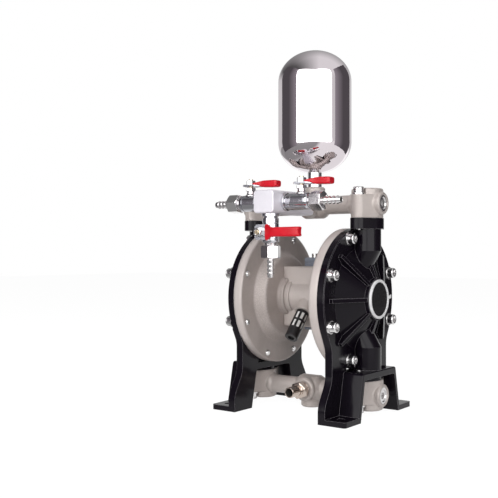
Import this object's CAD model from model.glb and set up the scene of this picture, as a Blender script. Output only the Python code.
import math
from collections import namedtuple

import bmesh
import bpy
from mathutils import Matrix, Vector

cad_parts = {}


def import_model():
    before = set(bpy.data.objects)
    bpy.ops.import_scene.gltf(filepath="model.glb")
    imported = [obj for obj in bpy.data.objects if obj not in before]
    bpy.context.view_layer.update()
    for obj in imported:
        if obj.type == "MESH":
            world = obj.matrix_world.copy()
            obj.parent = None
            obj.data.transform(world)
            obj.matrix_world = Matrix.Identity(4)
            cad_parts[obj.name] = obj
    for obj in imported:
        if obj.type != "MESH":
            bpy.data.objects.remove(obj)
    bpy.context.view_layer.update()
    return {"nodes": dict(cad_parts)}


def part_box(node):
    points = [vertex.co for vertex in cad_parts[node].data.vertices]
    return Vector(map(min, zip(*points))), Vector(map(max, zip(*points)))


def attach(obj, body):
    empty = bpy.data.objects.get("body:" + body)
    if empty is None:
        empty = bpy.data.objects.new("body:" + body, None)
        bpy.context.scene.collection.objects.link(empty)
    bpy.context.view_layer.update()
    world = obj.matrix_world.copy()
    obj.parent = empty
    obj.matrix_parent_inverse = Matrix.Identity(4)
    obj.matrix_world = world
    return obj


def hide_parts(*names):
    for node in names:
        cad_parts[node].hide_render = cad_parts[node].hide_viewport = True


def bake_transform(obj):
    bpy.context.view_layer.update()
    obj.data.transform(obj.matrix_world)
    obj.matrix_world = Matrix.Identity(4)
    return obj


# Air-operated double diaphragm pump: finishes, fine details, studio and camera.
# The pump's places are in millimetres in the part's own frame and become metres in the meshes.
# The studio is in metres throughout.

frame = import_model()
nodes = frame["nodes"]
MM = 0.001


def box(node):
    """Lowest and highest corner of a CAD node, in millimetres."""
    return [Vector([round(value / MM, 3) for value in corner]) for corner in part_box(node)]


def middle(node):
    """Centre of a CAD node's box, in millimetres."""
    low, high = box(node)
    return (low + high) / 2


# Places taken from the solids, or repeated from them where no box gives them. PORT_X and EAR_Y place the
# manifold screws, VALVE_Y and DROP_Y the axes of the valves, and BALL_AT their balls along the pipes.
SHAFT_Z = middle("diaphragm_shaft").z
RIM_RADIUS = box("right_air_chamber")[1].y
BOLT_CIRCLE = 61.0
PORT_X = 61.5
EAR_Y = 17.0
VALVE_Y = -68.0
DROP_Y = -76.0
BALL_AT = 17.5


# Node building
class Graph:
    """A node tree with short calls for the nodes that the finishes and the studio need."""

    def __init__(self, tree):
        self.tree = tree

    def add(self, kind, **settings):
        node = self.tree.nodes.new(kind)
        for key, value in settings.items():
            setattr(node, key, value)
        return node

    def set(self, node, socket, value):
        node.inputs[socket].default_value = value

    def link(self, output, node, socket):
        self.tree.links.new(output, node.inputs[socket])

    def feed(self, node, socket, value):
        """Put a number, a vector or another node's output into a socket."""
        if isinstance(value, (int, float, tuple)):
            self.set(node, socket, value)
        else:
            self.link(value, node, socket)

    def maths(self, operation, first, second, kind="ShaderNodeMath"):
        node = self.add(kind, operation=operation)
        self.feed(node, 0, first)
        self.feed(node, 1, second)
        return node.outputs["Value"]

    def dot(self, first, second):
        return self.maths("DOT_PRODUCT", first, second, "ShaderNodeVectorMath")

    def parts(self, vector):
        """The X, Y and Z of a vector, as a node's outputs."""
        node = self.add("ShaderNodeSeparateXYZ")
        self.link(vector, node, "Vector")
        return node.outputs

    def flat_length(self, across, up):
        """Length of a vector with two parts."""
        vector = self.add("ShaderNodeCombineXYZ")
        self.link(across, vector, "X")
        self.link(up, vector, "Y")
        node = self.add("ShaderNodeVectorMath", operation="LENGTH")
        self.link(vector.outputs["Vector"], node, "Vector")
        return node.outputs["Value"]

    def spread(self, value, low, high, start=0.3, end=0.7):
        """Map a value between start and end to low and high."""
        node = self.add("ShaderNodeMapRange")
        for socket, number in (("From Min", start), ("From Max", end), ("To Min", low), ("To Max", high)):
            self.set(node, socket, number)
        self.link(value, node, "Value")
        return node.outputs["Result"]


class Surface(Graph):
    """A material of the pump under construction."""

    def __init__(self, name, base, metallic=0.0, roughness=0.5, **sockets):
        self.material = bpy.data.materials.new(name)
        self.material.use_nodes = True
        super().__init__(self.material.node_tree)
        self.shader = self.tree.nodes["Principled BSDF"]
        self.set(self.shader, "Base Color", (*base, 1))
        self.set(self.shader, "Metallic", metallic)
        self.set(self.shader, "Roughness", roughness)
        for socket, value in sockets.items():
            self.set(self.shader, socket.replace("_", " "), value)
        self.place = self.add("ShaderNodeTexCoord").outputs["Object"]
        self.normal = None

    def noise(self, scale, detail=3.0, roughness=0.55, stretch=None):
        node = self.add("ShaderNodeTexNoise")
        self.set(node, "Scale", scale)
        self.set(node, "Detail", detail)
        self.set(node, "Roughness", roughness)
        place = self.place
        if stretch:
            mapping = self.add("ShaderNodeMapping")
            self.set(mapping, "Scale", stretch)
            self.link(place, mapping, "Vector")
            place = mapping.outputs["Vector"]
        self.link(place, node, "Vector")
        return node.outputs["Fac"]

    def cells(self, scale):
        node = self.add("ShaderNodeTexVoronoi", feature="F1")
        self.set(node, "Scale", scale)
        self.link(self.place, node, "Vector")
        return node.outputs["Distance"]

    def colours(self, factor, first, second):
        """Blend two colours by a value that varies over the surface."""
        node = self.add("ShaderNodeMix", data_type="RGBA")
        node.inputs[6].default_value = (*first, 1)
        node.inputs[7].default_value = (*second, 1)
        self.tree.links.new(factor, node.inputs[0])
        self.link(node.outputs[2], self.shader, "Base Color")

    def rough(self, value):
        self.link(value, self.shader, "Roughness")

    def use_normal(self, node):
        self.normal = node.outputs["Normal"]
        self.link(self.normal, self.shader, "Normal")

    def rounded(self, radius):
        """Round the edges in shading only, by a radius in millimetres."""
        node = self.add("ShaderNodeBevel", samples=6)
        self.set(node, "Radius", radius * MM)
        self.use_normal(node)

    def edge(self):
        """How much the rounded normal leaves the true one: high on edges."""
        geometry = self.add("ShaderNodeNewGeometry")
        return self.spread(self.dot(self.normal, geometry.outputs["Normal"]), 1.0, 0.0, 0.86, 0.995)

    def bump(self, height, distance, strength=1.0):
        """Add a bump, with its height in millimetres."""
        node = self.add("ShaderNodeBump")
        self.set(node, "Distance", distance * MM)
        self.set(node, "Strength", strength)
        self.link(height, node, "Height")
        if self.normal:
            self.link(self.normal, node, "Normal")
        self.use_normal(node)

    def from_shaft(self):
        """Distance from the shaft's axis, in metres."""
        parts = self.parts(self.place)
        rise = self.maths("SUBTRACT", parts["Z"], SHAFT_Z * MM)
        return self.flat_length(parts["Y"], rise)


# Finishes
def powder_coat():
    """Black powder coat, worn a little paler on its edges."""
    base = (0.0054, 0.0035, 0.0072)
    m = Surface("powder_coat", base, 0.0, 0.14, Specular_IOR_Level=0.2)
    m.rounded(0.45)
    worn = m.maths("MULTIPLY", m.edge(), m.spread(m.noise(240, 4), 0.6, 1.0))
    m.colours(worn, base, (0.30, 0.28, 0.30))
    m.rough(m.maths("ADD", m.spread(m.noise(60, 3), 0.11, 0.17), m.spread(m.noise(2600, 2), 0.0, 0.03)))
    m.bump(m.noise(900, 3), 0.004, 0.3)
    return m.material


def cast_paint(name, base, pale, sand=None, shine=0.5):
    """Silver-grey paint over a sand casting. The sand shows more between the two radii of sand."""
    m = Surface(name, base, 0.12, 0.40, Specular_IOR_Level=shine, Coat_Weight=0.24 * shine,
                Coat_Roughness=0.25)
    m.rounded(4.0 if sand else 1.8)
    edge = m.edge()
    grain = m.noise(2200, 4, 0.65)
    blotch = m.noise(45, 4)
    tone = m.maths("ADD", m.spread(grain, 0.0, 0.45), m.spread(blotch, 0.0, 0.35))
    tone = m.maths("ADD", tone, m.maths("MULTIPLY", edge, 0.35))
    m.rough(m.maths("ADD", m.spread(blotch, 0.34, 0.42), m.spread(grain, -0.04, 0.07)))
    m.bump(grain, 0.03, 0.55)
    m.bump(m.noise(520, 3), 0.05, 0.45)
    if sand:
        away = m.from_shaft()
        inner, outer = sand
        rise = m.spread(away, 0.0, 1.0, (inner - 1.5) * MM, (inner + 0.5) * MM)
        fall = m.spread(away, 1.0, 0.0, (outer - 1.5) * MM, (outer + 2.5) * MM)
        band = m.maths("MULTIPLY", rise, fall)
        grit = m.noise(1150, 2, 0.7)
        m.bump(m.maths("MULTIPLY", grit, band), 0.5, 0.9)
        tone = m.maths("ADD", tone, m.maths("MULTIPLY", band, m.spread(grit, 0.0, 0.9, 0.5, 0.68)))
        rim = m.spread(away, 0.0, 0.85, (RIM_RADIUS - 1.6) * MM, (RIM_RADIUS - 0.6) * MM)
        tone = m.maths("ADD", tone, rim)
    m.colours(tone, base, pale)
    return m.material


def plated(name, base, roughness, uneven=0.04, mark=1.0):
    """Bright plated or polished metal with a faint polishing grain."""
    m = Surface(name, base, 1.0, roughness)
    m.rounded(0.22)
    cloud = m.spread(m.noise(160, 4), roughness - uneven, roughness + uneven)
    scuff = m.noise(700, 3, 0.6, (1.0, 1.0, 0.12))
    m.rough(m.maths("ADD", cloud, m.spread(scuff, 0.0, 0.03)))
    m.bump(scuff, 0.004 * mark, 0.35)
    m.bump(m.noise(330, 2), 0.012 * mark, 0.35)
    return m.material


def mirror_steel():
    m = Surface("mirror_steel", (0.82, 0.755, 0.79), 1.0, 0.035)
    swirl = m.noise(70, 5, 0.6, (1.0, 1.0, 0.25))
    m.rough(m.spread(swirl, 0.02, 0.055))
    m.bump(m.noise(26, 2), 0.03, 0.10)
    m.bump(m.noise(1800, 2, 0.5, (1.0, 1.0, 0.05)), 0.0012, 0.3)
    return m.material


def blasted_aluminium():
    m = Surface("blasted_aluminium", (0.80, 0.775, 0.83), 0.22, 0.42, Specular_IOR_Level=0.5)
    m.rounded(0.5)
    grain = m.noise(3200, 3, 0.7)
    haze = m.noise(70, 3)
    m.colours(m.maths("ADD", m.spread(grain, 0.0, 0.6), m.spread(haze, 0.0, 0.4)),
              (0.74, 0.715, 0.77), (0.86, 0.835, 0.89))
    m.rough(m.spread(haze, 0.36, 0.46))
    m.bump(grain, 0.02, 0.4)
    return m.material


def brushed(name, base, roughness, along):
    """Metal with fine lines, which run along the axis where along is small."""
    m = Surface(name, base, 1.0, roughness)
    m.rounded(0.2)
    lines = m.noise(900, 3, 0.6, along)
    m.colours(m.spread(lines, 0.0, 1.0), tuple(0.86 * c for c in base), base)
    m.rough(m.spread(lines, roughness - 0.06, roughness + 0.08))
    m.bump(lines, 0.01, 0.4)
    return m.material


def vinyl():
    m = Surface("dipped_vinyl", (0.66, 0.004, 0.016), 0.0, 0.30, Specular_IOR_Level=0.34,
                Coat_Weight=0.12, Coat_Roughness=0.15)
    m.colours(m.spread(m.noise(60, 3), 0.0, 1.0), (0.60, 0.002, 0.012), (0.70, 0.003, 0.018))
    m.rough(m.spread(m.noise(200, 3), 0.28, 0.36))
    m.bump(m.noise(70, 2), 0.02, 0.2)
    return m.material


def moulded(name, base, pale, roughness, coarse=0.02, **sockets):
    """Moulded plastic or rubber between two near tones."""
    m = Surface(name, base, 0.0, roughness, **sockets)
    m.rounded(0.3)
    grain = m.noise(1800, 3, 0.6)
    m.colours(m.maths("ADD", m.spread(grain, 0.0, 0.6), m.spread(m.noise(90, 3), 0.0, 0.4)), base, pale)
    m.rough(m.spread(grain, roughness - 0.05, roughness + 0.08))
    m.bump(grain, coarse, 0.5)
    return m.material


def porous_plastic():
    m = Surface("porous_plastic", (0.82, 0.82, 0.80), 0.0, 0.8, Sheen_Weight=0.2)
    pores = m.cells(1700)
    m.colours(m.spread(pores, 0.0, 1.0, 0.1, 0.6), (0.93, 0.93, 0.92), (0.74, 0.73, 0.71))
    m.bump(pores, 0.12, 0.8)
    return m.material


# Radii between which the dish of an air chamber shows its sand
DISH_SAND = (38.5, 46.5)

black = powder_coat()
grey = cast_paint("cast_paint", (0.455, 0.398, 0.372), (0.64, 0.58, 0.55))
disc_grey = cast_paint("disc_paint", (0.375, 0.325, 0.300), (0.62, 0.555, 0.53), DISH_SAND, 0.25)
blue_grey = cast_paint("valve_paint", (0.20, 0.225, 0.285), (0.30, 0.33, 0.39))
valve_plate = plated("valve_plate", (0.62, 0.615, 0.65), 0.11, 0.05)
chrome = plated("bright_plate", (0.80, 0.78, 0.785), 0.13)
fastener = plated("fastener_plate", (0.76, 0.75, 0.75), 0.16, 0.05, 1.5)
warm_nickel = plated("warm_nickel", (0.58, 0.49, 0.43), 0.09, 0.03)
steel = plated("ground_steel", (0.58, 0.57, 0.58), 0.20)
mirror = mirror_steel()
aluminium = blasted_aluminium()
zinc = brushed("zinc_plate", (0.66, 0.67, 0.72), 0.27, (0.08, 1.0, 1.0))
brass = brushed("turned_brass", (0.66, 0.45, 0.20), 0.24, (1.0, 1.0, 1.0))
pale_brass = brushed("pale_brass", (0.74, 0.62, 0.44), 0.24, (1.0, 1.0, 1.0))
red = vinyl()
bore_dark = moulded("dark_bore", (0.03, 0.025, 0.023), (0.05, 0.045, 0.04), 0.5)
rubber = moulded("moulded_rubber", (0.018, 0.018, 0.018), (0.035, 0.034, 0.033), 0.6)
ptfe = moulded("white_ptfe", (0.80, 0.80, 0.78), (0.86, 0.86, 0.84), 0.38, Subsurface_Weight=0.1,
               Subsurface_Radius=(1.0 * MM, 1.0 * MM, 1.0 * MM))
plastic = moulded("black_plastic", (0.006, 0.005, 0.006), (0.011, 0.010, 0.011), 0.30)
white_plastic = porous_plastic()
emblem_black = moulded("emblem_black", (0.009, 0.008, 0.009), (0.014, 0.013, 0.014), 0.16, 0.004,
                       Coat_Weight=0.4, Coat_Roughness=0.05)
emblem_white = moulded("emblem_white", (0.93, 0.92, 0.93), (0.96, 0.95, 0.96), 0.24, 0.006)

FINISH = {
    "centre_body": grey, "discharge_manifold": grey, "suction_manifold": grey,
    "air_valve_body": blue_grey, "air_valve_caps": blue_grey, "air_valve_gasket": rubber,
    "air_valve_screws": fastener, "air_valve_spool": aluminium, "spool_seals": rubber,
    "exhaust_muffler": plastic, "muffler_element": white_plastic,
    "diaphragm_shaft": steel, "inner_diaphragm_plates": steel, "outer_diaphragm_plates": steel,
    "shaft_bushes": brass, "shaft_seals": rubber, "check_ball_seats": ptfe, "port_seals": rubber,
    "cover_screws": fastener, "screw_washers": fastener, "manifold_screws": fastener,
    "manifold_end_plugs": fastener, "emblem_discs": emblem_black, "emblem_rings": emblem_white,
    "hub_nipples": chrome, "surge_tank": mirror, "discharge_block": aluminium,
    "suction_hose_barb": warm_nickel, "valve_seat_rings": ptfe,
    "valve_hose_barbs": chrome, "valve_gland_nuts": chrome,
}
for side in ("left", "right"):
    for piece, finish in (("fluid_cover", black), ("air_chamber", disc_grey), ("diaphragm", rubber),
                          ("suction_ball", ptfe), ("discharge_ball", ptfe)):
        FINISH[f"{side}_{piece}"] = finish
for side in ("left", "right", "drop"):
    for piece, finish in (("body", chrome), ("ball", chrome), ("stem", pale_brass),
                          ("lever", zinc), ("grip", red), ("nut", fastener)):
        FINISH[f"{side}_valve_{piece}"] = finish


def paint(obj, material):
    obj.data.materials.clear()
    obj.data.materials.append(material)


for name, obj in nodes.items():
    paint(obj, FINISH[name])


# Mesh building
SHARP_ANGLE = 35


def shown(name, mesh, material):
    """A new object of a mesh, painted and in the scene."""
    obj = bpy.data.objects.new(name, mesh)
    bpy.context.scene.collection.objects.link(obj)
    paint(obj, material)
    return obj


def shade(mesh, angle=SHARP_ANGLE):
    """Smooth shading that breaks at edges sharper than an angle in degrees."""
    mesh.shade_smooth()
    mesh.set_sharp_from_angle(angle=math.radians(angle))


def skin(name, rings, material, smooth_angle=SHARP_ANGLE):
    """A closed skin over rings of points, which all have the same count."""
    count = len(rings[0])
    points = [Vector(point) * MM for ring in rings for point in ring]
    faces = []
    for i in range(len(rings) - 1):
        for k in range(count):
            n = (k + 1) % count
            faces.append((i * count + k, i * count + n, (i + 1) * count + n, (i + 1) * count + k))
    faces.append(tuple(reversed(range(count))))
    faces.append(tuple(range((len(rings) - 1) * count, len(rings) * count)))
    mesh = bpy.data.meshes.new(name)
    mesh.from_pydata(points, [], faces)
    mesh.validate()
    mesh.update()
    shade(mesh, smooth_angle)
    return shown(name, mesh, material)


def finish_piece(obj, body, slot, *replaced):
    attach(obj, body)
    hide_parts(*replaced)


def joined(name, objects):
    """One object from several, with its origin at the part's origin."""
    bpy.ops.object.select_all(action="DESELECT")
    for obj in objects:
        obj.select_set(True)
    bpy.context.view_layer.objects.active = objects[0]
    bpy.ops.object.join()
    objects[0].name = name
    objects[0].data.name = name
    return objects[0]


def axes(direction, turn):
    """Two unit vectors square to a direction, turned about it by an angle."""
    d = Vector(direction).normalized()
    side = Vector((0, 0, 1)) if abs(d.z) < 0.9 else Vector((0, 1, 0))
    a = side.cross(d).normalized()
    b = d.cross(a)
    c, s = math.cos(turn), math.sin(turn)
    return a * c + b * s, b * c - a * s


def ring(centre, direction, radius, count, turn):
    """A ring of points whose radius may be a number or a function of the angle."""
    a, b = axes(direction, turn)
    points = []
    for k in range(count):
        angle = 2 * math.pi * k / count
        r = radius(angle) if callable(radius) else radius
        points.append(Vector(centre) + a * (r * math.cos(angle)) + b * (r * math.sin(angle)))
    return points


def hexagon(corner):
    """Radius of a hexagon at an angle, from its radius to the corners."""
    flat = corner * math.cos(math.pi / 6)
    return lambda angle: flat / math.cos((angle % (math.pi / 3)) - math.pi / 6)


def turned(name, base, way, profile, material, count=72, turn=0, bore=0):
    """A closed turned piece from (distance, radius) pairs along a way from its base.

    It is turned about the way by a number of degrees. The last rings, as many as bore says,
    are the wall of a bore with a dull dark skin.
    """
    base, along = Vector(base), Vector(way)
    rings = [ring(base + along * z, way, radius, count, math.radians(turn)) for z, radius in profile]
    obj = skin(name, rings, material)
    if bore:
        obj.data.materials.append(bore_dark)
        first = (len(profile) - bore) * count
        start_cap = (len(profile) - 1) * count
        for polygon in obj.data.polygons:
            if polygon.index >= first and polygon.index != start_cap:
                polygon.material_index = 1
    return obj


def chamfered_hex(start, length, corner, ends=(True, True)):
    """Profile of a hexagon whose ends are cut to a cone of 30 degrees."""
    outline = hexagon(corner)
    face = corner * 0.825
    depth = (corner - face) / math.sqrt(3)

    def cut(share):
        limit = face + (corner - face) * share
        return lambda angle: min(outline(angle), limit)

    steps = [0.0, 0.25, 0.5, 0.75, 1.0]
    low = [(start + depth * s, cut(s)) for s in steps] if ends[0] else [(start, outline)]
    high = [(start + length - depth * s, cut(s)) for s in reversed(steps)]
    return low + (high if ends[1] else [(start + length, outline)])


def threaded(start, length, radius, pitch):
    """Profile of a screw thread, drawn as even ridges."""
    count = round(length / pitch)
    depth = 0.54 * pitch
    found = []
    for i in range(count):
        foot = start + length * i / count
        found += [(foot, radius - depth), (foot + 0.42 * pitch, radius), (foot + 0.58 * pitch, radius)]
    return found + [(start + length, radius - depth)]


# Socket screws with knurled heads
HEAD_HEIGHT = 6.0
HEAD_RADIUS = 4.98
SHANK_RADIUS = 3.0
SOCKET_CORNER = 2.95
KNURLS = 48
KNURL_DEPTH = 0.16


def socket_screw(base, way, length):
    """Head on its washer at base, its shank running back against the way."""
    def knurl(angle):
        return HEAD_RADIUS - KNURL_DEPTH * (0.5 + 0.5 * math.cos(KNURLS * angle)) ** 2

    profile = [(-length, 1.9), (-length + 0.6, 2.4)]
    profile += threaded(-length + 0.7, 5.0, SHANK_RADIUS, 1.0)
    profile += [(-length + 6.4, SHANK_RADIUS), (0, SHANK_RADIUS), (0.02, 4.7), (0.35, HEAD_RADIUS),
                (0.6, knurl), (4.7, knurl), (5.0, HEAD_RADIUS), (5.6, 4.7), (5.95, 4.1),
                (HEAD_HEIGHT, 3.6), (HEAD_HEIGHT, 3.2), (5.75, hexagon(SOCKET_CORNER)),
                (3.0, hexagon(SOCKET_CORNER)), (2.4, 0.6)]
    return turned("screw", base, way, profile, fastener, 96)


def cover_screws():
    """Eight screws round each cover."""
    seat = box("cover_screws")[1].x - HEAD_HEIGHT
    found = []
    for side in (1, -1):
        for i in range(8):
            angle = math.radians(45 * (i + 0.5))
            y, z = BOLT_CIRCLE * math.cos(angle), SHAFT_Z + BOLT_CIRCLE * math.sin(angle)
            found.append(socket_screw((side * seat, y, z), (side, 0, 0), 19.4))
    finish_piece(joined("cover_screw_set", found), "pump_body", "bright_chrome", "cover_screws")


def manifold_screws():
    """Two screws through the ears at each end of both manifolds."""
    low, high = box("manifold_screws")
    found = []
    for x in (PORT_X, -PORT_X):
        for y in (EAR_Y, -EAR_Y):
            found.append(socket_screw((x, y, high.z - HEAD_HEIGHT), (0, 0, 1), 34.4))
            found.append(socket_screw((x, y, low.z + HEAD_HEIGHT), (0, 0, -1), 33.9))
    finish_piece(joined("manifold_screw_set", found), "pump_body", "bright_chrome", "manifold_screws")


# The three small valves: where each leaves the outlet block, the way its pipe runs, the way its stem
# points, how far its grip reaches along the lever, and the turn of its hose barb in degrees
Valve = namedtuple("Valve", "side start way up reach turn")
block_low, block_high = box("discharge_block")
block_x, block_z = middle("discharge_block").xz
VALVES = (Valve("left", (block_low.x, VALVE_Y, block_z), (-1, 0, 0), (0, 0, 1), 31.5, 8),
          Valve("right", (block_high.x, VALVE_Y, block_z), (1, 0, 0), (0, 0, 1), 31.5, 22),
          Valve("drop", (block_x, DROP_Y, block_low.z), (0, 0, -1), (0, -1, 0), 43.2, 12))


def stem_foot(valve):
    """Where the stem's axis meets the pipe's."""
    return Vector(valve.start) + Vector(valve.way) * BALL_AT


def valve_bodies():
    """The plated shells with their grooves, each with the bonnet round its stem."""
    shell_profile = [(-5.0, 2.6), (-5.0, 5.8)] + threaded(-5.0, 4.6, 6.5, 0.92)
    shell_profile += [(0, 6.2), (0, 8.0), (0.3, 8.35), (2.3, 8.35), (2.6, 8.05), (2.7, 6.8), (2.9, 6.5),
                      (4.2, 6.5), (4.4, 6.8), (4.6, 7.65), (8.6, 7.7), (8.7, 7.1), (9.4, 7.1), (9.5, 7.7),
                      (23.0, 7.7), (23.1, 7.0), (24.0, 7.0), (24.1, 7.7), (26.2, 7.7), (26.8, 7.3),
                      (27.0, 6.8), (27.0, 5.6), (26.7, 5.25), (12.5, 5.0), (12.5, 2.6), (-4.8, 2.6)]
    bonnet_profile = [(6.8, 1.2), (6.8, 5.6), (7.4, 5.5), (8.0, 4.7), (8.5, 4.15), (9.0, 3.8), (9.9, 3.8),
                      (10.1, 3.5), (10.6, 3.5), (10.8, 3.8), (11.3, 3.8), (11.5, 3.6), (11.5, 1.2)]
    for valve in VALVES:
        shell = turned("shell", valve.start, valve.way, shell_profile, valve_plate)
        bonnet = turned("bonnet", stem_foot(valve), valve.up, bonnet_profile, chrome, 48)
        finish_piece(joined(f"{valve.side}_valve_shell", [shell, bonnet]), "pump_body", "bright_chrome",
                     f"{valve.side}_valve_body")


def stem_nuts():
    """The nut that holds each lever and the gland nut under it, bored for the stem."""
    lock_profile = [(17.4, 0.8)] + chamfered_hex(17.4, 4.2, 4.4, (False, True))
    lock_profile += [(21.6, 2.4), (21.4, 2.05), (17.9, 2.05), (17.9, 0.8)]
    gland_profile = [(11.5, 0.8)] + chamfered_hex(11.5, 3.2, 4.9)
    gland_profile += [(14.7, 2.4), (14.5, 2.05), (12.0, 2.05), (12.0, 0.8)]
    glands = []
    for valve in VALVES:
        foot = stem_foot(valve)
        obj = turned(f"{valve.side}_valve_lock_nut", foot, valve.up, lock_profile, fastener, 48, 20)
        finish_piece(obj, f"{valve.side}_valve_handle", "bright_chrome", f"{valve.side}_valve_nut")
        glands.append(turned("gland", foot, valve.up, gland_profile, chrome, 48, 15))
    finish_piece(joined("valve_gland_nut_set", glands), "pump_body", "bright_chrome", "valve_gland_nuts")


# Hose barbs
SUCTION_TAIL = 24.5


def tail(start, radius, ridge, length, count, bore):
    """Ridged hose tail with its bore."""
    tooth = (length - 2.0) / count
    waist = radius - 0.35
    found = [(start, radius + 0.6), (start + 0.5, waist), (start + 1.4, waist)]
    for i in range(count):
        foot = start + 1.6 + tooth * i
        found += [(foot, waist + 0.15), (foot + 0.18, radius + ridge - 0.15), (foot + 0.5, radius + ridge),
                  (foot + 0.95, radius + ridge - 0.12), (foot + tooth * 0.66, waist + 0.1),
                  (foot + tooth * 0.9, waist)]
    end = start + length
    found += [(end - 0.4, waist), (end, waist - 0.25), (end, bore + 0.2), (end - 0.3, bore)]
    return found


def hose_barbs():
    """A barb in the end of each valve, and the larger one in the suction tee."""
    profile = [(25.5, 4.6), (25.5, 5.2), (27.0, 5.2)]
    profile += threaded(27.0, 1.9, 6.2, 0.95)
    profile += chamfered_hex(29.2, 12.0, 9.2)
    profile += tail(41.2, 3.3, 0.5, 17.5, 4, 2.2) + [(25.7, 2.2)]
    found = [turned("barb", valve.start, valve.way, profile, chrome, turn=valve.turn, bore=2)
             for valve in VALVES]
    finish_piece(joined("valve_hose_barb_set", found), "pump_body", "bright_chrome", "valve_hose_barbs")

    centre, tip = middle("suction_hose_barb"), box("suction_hose_barb")[0].y
    profile = [(-8.0, 5.0), (-8.0, 6.0)] + threaded(-7.6, 9.5, 6.6, 1.0)
    profile += chamfered_hex(2.0, 7.5, 8.6)
    profile += [(9.5, 5.6), (10.1, 4.95), (12.6, 4.95), (12.8, 5.2), (13.5, 5.2), (14.2, 4.9), (16.4, 4.9),
                (16.6, 5.2), (17.3, 5.2), (18.0, 4.9), (20.2, 4.9), (20.4, 5.22), (21.1, 5.22), (21.9, 5.0),
                (24.1, 5.0), (SUCTION_TAIL, 4.7), (SUCTION_TAIL, 4.2), (24.1, 4.0), (-7.8, 4.0)]
    obj = turned("suction_barb_turned", (centre.x, tip + SUCTION_TAIL, centre.z), (0, -1, 0), profile,
                 warm_nickel, turn=20, bore=2)
    finish_piece(obj, "pump_body", "bright_chrome", "suction_hose_barb")


# Lever grips
GRIP_POINTS = 56
GRIP_POWER = 5.0


def grip_ring(centre, along, across, up, half_width, half_height, notch):
    """A rounded box outline, drawn back along the grip towards its middle by the notch."""
    points = []
    for k in range(GRIP_POINTS):
        angle = 2 * math.pi * (k + 0.5) / GRIP_POINTS
        c, s = math.cos(angle), math.sin(angle)
        v = math.copysign(abs(c) ** (2 / GRIP_POWER), c)
        w = math.copysign(abs(s) ** (2 / GRIP_POWER), s)
        drawn = along * (-notch * (1 - abs(v)) ** 1.5)
        points.append(centre + across * (half_width * v) + up * (half_height * w) + drawn)
    return points


def grip(valve):
    """Dipped sleeve on a stamped lever: thin over the root, full on the arm, notched at its tip.

    Each station has its place along the lever, half width, low and high sides and notch.
    """
    along, up, foot = Vector((1, 0, 0)), Vector(valve.up), stem_foot(valve)
    across = up.cross(along)
    end = valve.reach
    stations = [(6.2, 5.2, 17.1, 17.9, 0), (6.3, 6.0, 16.9, 18.3, 0), (7.0, 6.9, 16.8, 18.6, 0),
                (8.7, 7.3, 16.7, 19.0, 0), (10.2, 6.7, 16.6, 19.4, 0), (11.6, 5.5, 16.4, 19.8, 0),
                (12.8, 4.7, 16.0, 20.2, 0), (13.8, 4.45, 15.1, 20.4, 0), (15.4, 4.3, 14.7, 20.7, 0),
                (18.0, 4.25, 14.6, 20.9, 0), (end - 8, 4.3, 14.3, 20.9, 0), (end - 3, 4.35, 14.2, 20.8, 0.3),
                (end - 0.8, 4.35, 14.3, 20.6, 0.8), (end + 0.1, 4.15, 14.6, 20.3, 1.2),
                (end + 0.45, 3.8, 15.0, 19.9, 1.5), (end + 0.5, 3.2, 15.6, 19.3, 1.6)]
    rings = [grip_ring(foot + along * place + up * ((low + high) / 2), along, across, up, half_width,
                       (high - low) / 2, notch)
             for place, half_width, low, high, notch in stations]
    obj = skin(f"{valve.side}_valve_sleeve", rings, red, smooth_angle=180)
    finish_piece(obj, f"{valve.side}_valve_handle", "red_vinyl", f"{valve.side}_valve_grip")


# Pieces worked from the CAD meshes. A diaphragm follows the rod out to the edge of its plates and the
# pump from where it is clamped, and bends between the two radii.
WELD = 0.0005
WEDGES = 8
CORE_SWELL = 0.8


def welded(node, name):
    """A copy of a CAD node's mesh, and that mesh open for work with its split corners joined."""
    mesh = nodes[node].data.copy()
    mesh.name = name
    work = bmesh.new()
    work.from_mesh(mesh)
    bmesh.ops.remove_doubles(work, verts=work.verts[:], dist=WELD * MM)
    return mesh, work


def replacement(mesh, work, material):
    """An object of a worked mesh, shaded from its own faces."""
    work.to_mesh(mesh)
    work.free()
    if "custom_normal" in mesh.attributes:
        mesh.attributes.remove(mesh.attributes["custom_normal"])
    shade(mesh)
    return shown(mesh.name, mesh, material)


def cut_away(work, centre, normal):
    """Cut off what lies beyond a plane, and close the mesh there."""
    cut = bmesh.ops.bisect_plane(work, geom=work.verts[:] + work.edges[:] + work.faces[:],
                                 plane_co=centre, clear_outer=True, plane_no=normal)
    edges = [part for part in cut["geom_cut"] if isinstance(part, bmesh.types.BMEdge)]
    bmesh.ops.edgenet_fill(work, edges=edges)


def diaphragms():
    """Each diaphragm in wedges that bend between the moving plates and the clamped rim."""
    centre = Vector((0, 0, SHAFT_Z)) * MM
    step = 360 / WEDGES
    for side in ("left", "right"):
        for k in range(WEDGES):
            mesh, work = welded(f"{side}_diaphragm", f"{side}_diaphragm_wedge_{k + 1}")
            for share, sign in ((k + 0.5, 1), (k - 0.5, -1)):
                angle = math.radians(step * share)
                cut_away(work, centre, Vector((0, -math.sin(angle), math.cos(angle))) * sign)
            bmesh.ops.triangulate(work, faces=work.faces[:])
            bmesh.ops.recalc_face_normals(work, faces=work.faces[:])
            obj = replacement(mesh, work, rubber)
            angle = math.radians(step * k)
            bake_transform(obj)
            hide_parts(f"{side}_diaphragm")


def muffler_core():
    """The porous core, pressed a little way out into the slots round it."""
    mesh, work = welded("muffler_element", "muffler_core")
    work.normal_update()
    pushes = [vertex.normal * (CORE_SWELL * MM * vertex.calc_shell_factor()) for vertex in work.verts]
    for vertex, push in zip(work.verts, pushes):
        vertex.co += push
    finish_piece(replacement(mesh, work, white_plastic), "pump_body", "white_felt", "muffler_element")


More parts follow.
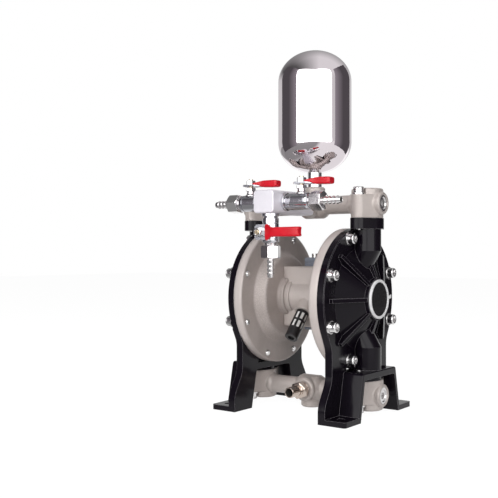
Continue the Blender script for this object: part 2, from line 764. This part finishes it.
cover_screws()
manifold_screws()
diaphragms()
muffler_core()
hose_barbs()
valve_bodies()
stem_nuts()
for valve in VALVES:
    grip(valve)

# Studio
YAW = math.radians(36.71)
AHEAD = Vector((-math.sin(YAW), math.cos(YAW), 0))
RIGHT = Vector((math.cos(YAW), math.sin(YAW), 0))
MIDDLE = Vector((0.02, 0, 0.2))
HORIZON_GREY = 0.66
SOFTBOX_DISTANCE = 1.5
SOFTBOX_HEIGHT = 1.5
SOFTBOX_LEVEL = 0.72
CARD_DISTANCE = 0.7
CARD_HEIGHT = 0.90
CARD_LEVEL = 0.46


def round_about(degrees, distance, height):
    """A place round the object: 0 is behind the camera and 90 is to its right."""
    turn = math.radians(degrees)
    level = Vector((MIDDLE.x, MIDDLE.y, height))
    return level + (RIGHT * math.sin(turn) - AHEAD * math.cos(turn)) * distance


def towards_middle(place):
    """The level way from a place to the object."""
    return Vector((MIDDLE.x - place.x, MIDDLE.y - place.y, 0))


def plane(name, centre, size, facing, material, reflected_only=False):
    """A flat card of a size in metres whose face points along a direction."""
    mesh = bpy.data.meshes.new(name)
    x, y = size[0] / 2, size[1] / 2
    mesh.from_pydata([(-x, -y, 0), (x, -y, 0), (x, y, 0), (-x, y, 0)], [], [(0, 1, 2, 3)])
    obj = shown(name, mesh, material)
    turn = Vector(facing).to_track_quat("Z", "Y").to_matrix().to_4x4()
    obj.matrix_world = Matrix.Translation(centre) @ turn
    if reflected_only:
        for ray in ("camera", "diffuse", "shadow", "transmission", "volume_scatter"):
            setattr(obj, f"visible_{ray}", False)


def lamp(name, place, target, size, power):
    """A soft lamp that metal doesn't reflect. The white cloths are what it sees of the softboxes."""
    data = bpy.data.lights.new(name, "AREA")
    data.shape = "RECTANGLE"
    data.size, data.size_y = size
    data.energy = power
    obj = bpy.data.objects.new(name, data)
    bpy.context.scene.collection.objects.link(obj)
    obj.location = place
    obj.rotation_euler = (Vector(target) - Vector(place)).to_track_quat("-Z", "Y").to_euler()
    obj.visible_glossy = False


def stage_material(name):
    """An empty material, its graph and its output node."""
    material = bpy.data.materials.new(name)
    material.use_nodes = True
    graph = Graph(material.node_tree)
    graph.tree.nodes.clear()
    return material, graph, graph.add("ShaderNodeOutputMaterial")


def seen_light(graph, camera, glossy):
    """Whether the camera, metal or glass sees this, and how strongly."""
    path = graph.add("ShaderNodeLightPath").outputs
    bent = graph.maths("MAXIMUM", path["Is Glossy Ray"], path["Is Transmission Ray"])
    seen = graph.maths("MAXIMUM", path["Is Camera Ray"], bent)
    direct = graph.maths("MULTIPLY", path["Is Camera Ray"], camera)
    mirrored = graph.maths("MULTIPLY", bent, glossy)
    return seen, graph.maths("MAXIMUM", direct, mirrored)


def floor_material():
    """Pale floor, white to the camera. Metal sees it brighter behind the camera and darker on the right."""
    material, graph, output = stage_material("studio_floor")
    lit = graph.add("ShaderNodeBsdfDiffuse")
    graph.set(lit, "Color", (0.86, 0.86, 0.86, 1))
    white = graph.add("ShaderNodeEmission")
    graph.set(white, "Color", (1, 1, 1, 1))
    place = graph.add("ShaderNodeTexCoord").outputs["Object"]
    behind_camera = graph.spread(graph.dot(place, tuple(-AHEAD)), 0.95, 1.25, 0.60, 0.68)
    on_the_right = graph.spread(graph.dot(place, (0.6, 0.8, 0)), 1.0, 0.26, 0.06, 0.20)
    seen, strength = seen_light(graph, 1.12, graph.maths("MULTIPLY", behind_camera, on_the_right))
    graph.link(strength, white, "Strength")
    mix = graph.add("ShaderNodeMixShader")
    graph.link(graph.maths("MULTIPLY", seen, 0.86), mix, 0)
    graph.link(lit.outputs[0], mix, 1)
    graph.link(white.outputs[0], mix, 2)
    graph.link(mix.outputs[0], output, 0)
    return material


def dark_cloth(edge, far_end):
    """Dark studio cloth, lighter towards the edge beside the softbox."""
    material, graph, output = stage_material("studio_card")
    at_edge, at_far_end = 0.30, 0.085
    place = graph.add("ShaderNodeTexCoord").outputs["Object"]
    glow = graph.add("ShaderNodeEmission")
    graph.set(glow, "Color", (1.0, 0.92, 1.0, 1))
    graph.link(graph.spread(graph.parts(place)["X"], at_edge, at_far_end, edge, far_end), glow, "Strength")
    graph.link(glow.outputs[0], output, 0)
    return material


def white_cloth(strength, width, height, outer):
    """What metal and paint reflect where a softbox stands. Its corners are round and soft.

    Outer is the side that has the corners, 1 or -1 along X, or 0 for a cloth between two others.
    """
    material, graph, output = stage_material("studio_white_cloth")
    corner, rim_glow = 0.24, 0.35
    parts = graph.parts(graph.add("ShaderNodeTexCoord").outputs["Object"])
    beside = graph.maths("SUBTRACT", graph.maths("MULTIPLY", parts["X"], outer), width / 2 - corner)
    above = graph.maths("SUBTRACT", graph.maths("ABSOLUTE", parts["Y"], 0), height / 2 - corner)
    reach = graph.flat_length(graph.maths("MAXIMUM", beside, 0), graph.maths("MAXIMUM", above, 0))
    glow = graph.add("ShaderNodeEmission")
    graph.link(graph.spread(reach, strength, rim_glow, 0.85 * corner, corner), glow, "Strength")
    graph.link(glow.outputs[0], output, 0)
    return material


def world():
    """White to the camera. Metal sees a grey horizon, and overhead light on the right and near side."""
    scene_world = bpy.data.worlds.new("studio")
    bpy.context.scene.world = scene_world
    scene_world.use_nodes = True
    graph = Graph(scene_world.node_tree)
    graph.tree.nodes.clear()
    output = graph.add("ShaderNodeOutputWorld")
    light = graph.add("ShaderNodeBackground")
    graph.set(light, "Color", (0.98, 0.98, 1.0, 1))
    graph.set(light, "Strength", 0.14)
    place = graph.add("ShaderNodeTexCoord").outputs["Generated"]
    rise = graph.spread(graph.parts(place)["Z"], 0.0, 1.0, 0.20, 0.42)
    from_left = graph.spread(graph.dot(place, tuple(RIGHT)), 0.10, 0.80, -0.7, 0.15)
    from_camera = graph.spread(graph.dot(place, tuple(AHEAD)), 1.0, 0.45, 0.1, 0.9)
    ceiling = graph.maths("MULTIPLY", from_left, from_camera)
    change = graph.maths("MULTIPLY", graph.maths("SUBTRACT", ceiling, HORIZON_GREY), rise)
    seen, strength = seen_light(graph, 1.0, graph.maths("ADD", change, HORIZON_GREY))
    view = graph.add("ShaderNodeBackground")
    graph.set(view, "Color", (1, 1, 1, 1))
    graph.link(strength, view, "Strength")
    mix = graph.add("ShaderNodeMixShader")
    graph.link(seen, mix, 0)
    graph.link(light.outputs[0], mix, 1)
    graph.link(view.outputs[0], mix, 2)
    graph.link(mix.outputs[0], output, 0)


def cloth(name, degrees, distance, width, glow, outer):
    """A white cloth round the object, at the softboxes' level."""
    spot = round_about(degrees, distance, SOFTBOX_LEVEL)
    plane(f"studio_cloth_{name}", spot, (width, SOFTBOX_HEIGHT), towards_middle(spot),
          white_cloth(glow, width, SOFTBOX_HEIGHT, outer), True)


world()
plane("studio_floor", (0, 0, 0), (8, 8), (0, 0, 1), floor_material())

# Dark cards beside the object: turn in degrees, width, and the place of the edge beside the softbox
for name, degrees, width, edge in (("right", 97, 1.05, 0.52), ("left", -95, 0.87, -0.43)):
    spot = round_about(degrees, CARD_DISTANCE, CARD_LEVEL)
    plane(f"studio_card_{name}", spot, (width, CARD_HEIGHT), towards_middle(spot),
          dark_cloth(edge, 0.08 * edge), True)

# Softboxes: turn in degrees, width, radiance, glow of the cloth and its outer side
SOFTBOXES = (("left", -40, 1.46, 2.45, 3.2, 1), ("right", 20.5, 1.66, 1.45, 3.0, -1))
for name, degrees, width, radiance, _, _ in SOFTBOXES:
    lamp(f"{name}_softbox", round_about(degrees, SOFTBOX_DISTANCE, SOFTBOX_LEVEL), MIDDLE,
         (width, SOFTBOX_HEIGHT), radiance * math.pi * width * SOFTBOX_HEIGHT)
for name, degrees, width, _, glow, outer in SOFTBOXES:
    cloth(name, degrees, SOFTBOX_DISTANCE, width, glow, outer)
cloth("gap", -11, SOFTBOX_DISTANCE + 0.06, 0.34, 2.0, 0)
lamp("top_softbox", (0.1, 0.15, 1.7), (0, 0, 0.15), (1.0, 1.0), 4)

# Camera at the photograph's viewing angle
camera_data = bpy.data.cameras.new("camera")
camera_data.sensor_width = 36.0
camera_data.lens = 57.84
camera_data.clip_start = 0.02
camera_data.clip_end = 50
camera = bpy.data.objects.new("camera", camera_data)
bpy.context.scene.collection.objects.link(camera)
camera.location = (0.4249, -0.6750, 0.1533)
camera.rotation_euler = (math.radians(90.29), 0, YAW)
bpy.context.scene.camera = camera
bpy.context.scene.view_settings.view_transform = "Standard"
